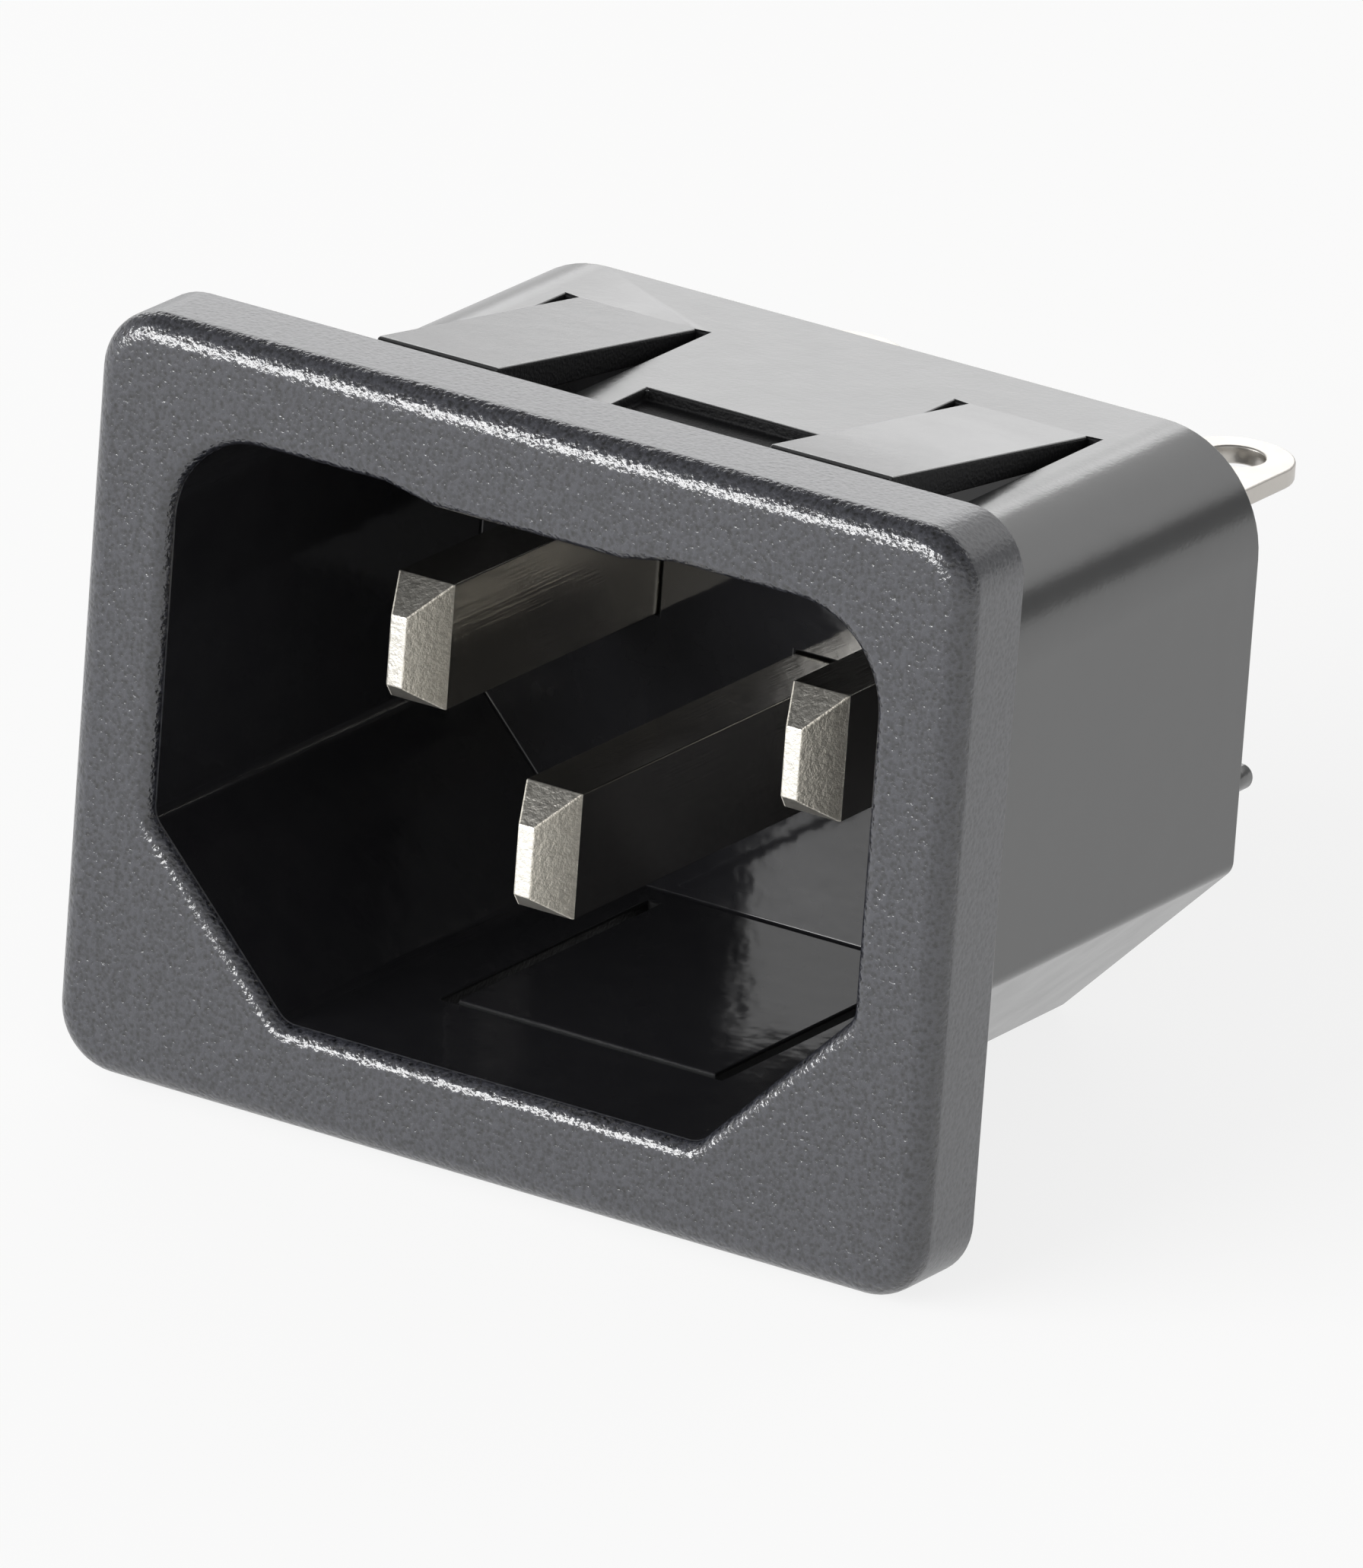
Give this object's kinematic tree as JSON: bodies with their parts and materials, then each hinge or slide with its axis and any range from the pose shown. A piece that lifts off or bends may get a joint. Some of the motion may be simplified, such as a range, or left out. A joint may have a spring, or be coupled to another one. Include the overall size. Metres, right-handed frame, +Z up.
{
  "type": "c14 panel inlet socket",
  "caption": "Snap-in mains power inlet for an equipment panel: a keyed recess round flat pins, springy tongues that lock behind the panel, and eyed solder lugs.",
  "frame": {"origin": "centre of the flange's rear face, which seats on the panel", "axes": "+X to the right and +Z up as seen from the front, +Y into the panel"},
  "size_m": [0.0308, 0.0313, 0.0242],
  "materials": {
    "moulded_housing": "black moulded nylon, fine spark texture on the flange and smooth on the shroud",
    "plated_pin": "nickel-plated brass, bright",
    "tinned_lug": "tin-plated brass, satin"
  },
  "bodies": {
    "root": {"housing": "moulded_housing", "line_pin": "plated_pin", "neutral_pin": "plated_pin", "earth_pin": "plated_pin", "line_lug": "tinned_lug", "neutral_lug": "tinned_lug", "earth_lug": "tinned_lug"}
  },
  "joints": []
}
